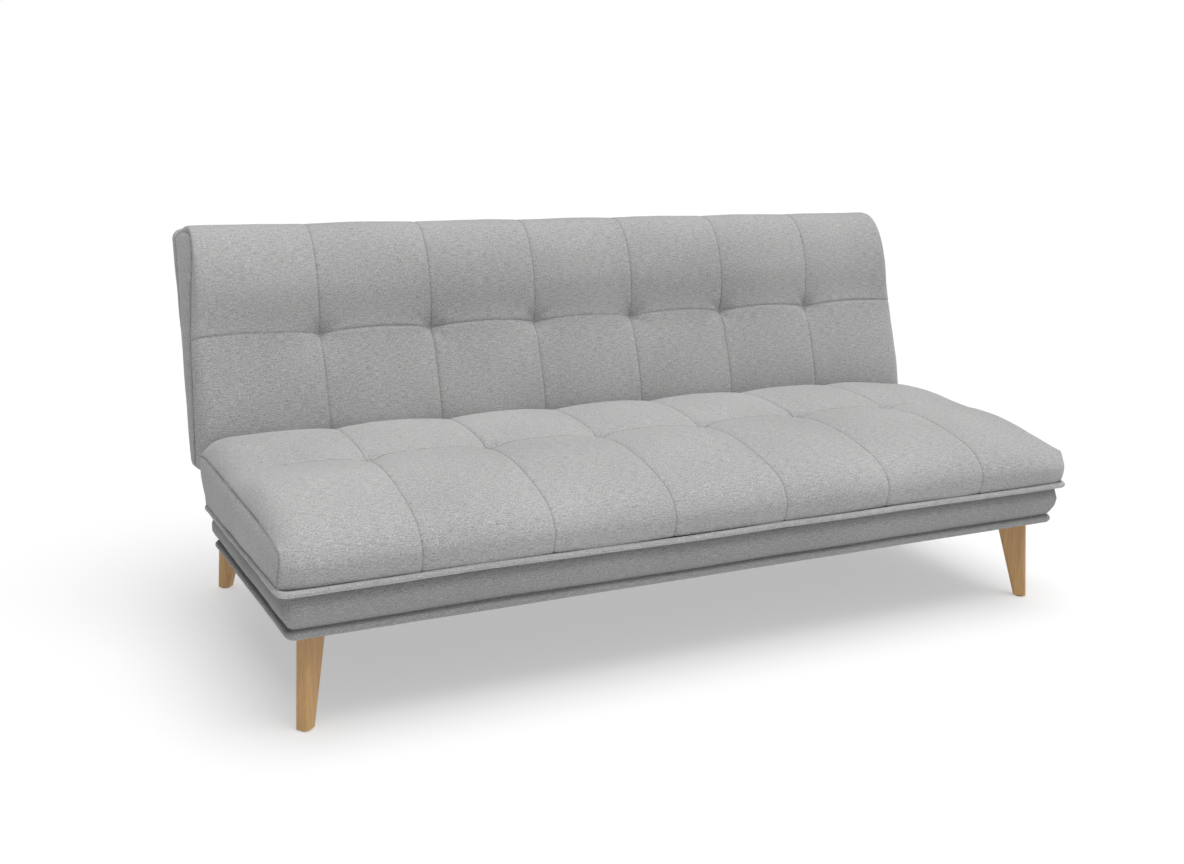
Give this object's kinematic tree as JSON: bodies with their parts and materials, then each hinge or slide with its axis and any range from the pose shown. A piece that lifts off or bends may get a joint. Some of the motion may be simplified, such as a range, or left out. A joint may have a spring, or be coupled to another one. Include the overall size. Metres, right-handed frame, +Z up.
{
  "type": "click-clack sofa bed",
  "caption": "Armless upholstered sofa bed with a tufted seat and a tufted back that reclines flat, on splayed wooden legs",
  "frame": {"origin": "on the floor, under the middle of the sofa's overall box in the sitting position", "axes": "+X along the width, to the right as seen from the front, +Y towards the back, +Z up"},
  "size_m": [1.79, 0.9566, 0.8374],
  "materials": {
    "cover_fabric": "light grey melange plain weave with fine slubs",
    "piping_fabric": "the cover fabric over a cord",
    "band_fabric": "the cover fabric, stretched plain",
    "rear_fabric": "the cover fabric, stretched plain",
    "dust_cover": "black non-woven",
    "foam": "polyurethane foam",
    "beech_leg": "satin lacquered beech",
    "beech_slat": "bent beech laminate",
    "pine_frame": "planed pine",
    "black_rubber": "matt black",
    "black_plastic": "matt black",
    "felt_glide": "dark brown",
    "black_steel": "black powder coat",
    "zinc_steel": "zinc plated"
  },
  "bodies": {
    "base": {"base_end_caps": "black_plastic", "base_front_rail": "black_steel", "base_middle_rail": "black_steel", "base_rear_rail": "black_steel", "base_side_rail_left": "black_steel", "base_side_rail_right": "black_steel", "foot_glides": "felt_glide", "leg_front_left": "beech_leg", "leg_front_right": "beech_leg", "leg_hanger_bolts": "zinc_steel", "leg_lock_nuts": "zinc_steel", "leg_mounting_plates": "black_steel", "leg_rear_left": "beech_leg", "leg_rear_right": "beech_leg", "rest_bumpers": "black_rubber", "seat_arm_bolts": "zinc_steel", "seat_band_cover": "band_fabric", "seat_bottom_welt": "band_fabric", "seat_cover": "cover_fabric", "seat_dust_cover": "dust_cover", "seat_foam": "foam", "seat_frame_centre_rails": "pine_frame", "seat_frame_front_rail": "pine_frame", "seat_frame_left_rail": "pine_frame", "seat_frame_rear_rail": "pine_frame", "seat_frame_right_rail": "pine_frame", "seat_hinge_arm_left": "zinc_steel", "seat_hinge_arm_right": "zinc_steel", "seat_piping": "piping_fabric", "seat_slat_holders": "black_rubber", "seat_slats": "beech_slat"},
    "backrest": {"back_band_cover": "band_fabric", "back_bottom_welt": "band_fabric", "back_cover": "cover_fabric", "back_foam": "foam", "back_frame_centre_rails": "pine_frame", "back_frame_left_rail": "pine_frame", "back_frame_lower_rail": "pine_frame", "back_frame_right_rail": "pine_frame", "back_frame_upper_rail": "pine_frame", "back_hinge_plate_left": "zinc_steel", "back_hinge_plate_right": "zinc_steel", "back_piping": "piping_fabric", "back_plate_bolts": "zinc_steel", "back_rear_panel": "rear_fabric", "back_slat_holders": "black_rubber", "back_slats": "beech_slat", "pawl_pins": "zinc_steel", "pawl_springs": "zinc_steel", "pivot_bolts": "zinc_steel", "pivot_washers": "zinc_steel"},
    "pawl_left": {"pawl_left": "zinc_steel"},
    "pawl_right": {"pawl_right": "zinc_steel"}
  },
  "joints": [
    {"name": "back_recline", "type": "hinge", "parent": "base", "child": "backrest", "pos_m": [0, 0.203, 0.3664], "axis": [-1, 0, 0], "range_deg": [0, 77]},
    {"name": "pawl_lift_left", "type": "hinge", "parent": "backrest", "child": "pawl_left", "pos_m": [-0.8205, 0.24918, 0.41527], "axis": [-1, 0, 0], "range_deg": [0, 8], "stiffness_Nm_per_rad": 0.5, "springref_deg": -11.46},
    {"name": "pawl_lift_right", "type": "hinge", "parent": "backrest", "child": "pawl_right", "pos_m": [0.8205, 0.24918, 0.41527], "axis": [-1, 0, 0], "range_deg": [0, 8], "stiffness_Nm_per_rad": 0.5, "springref_deg": -11.46}
  ]
}
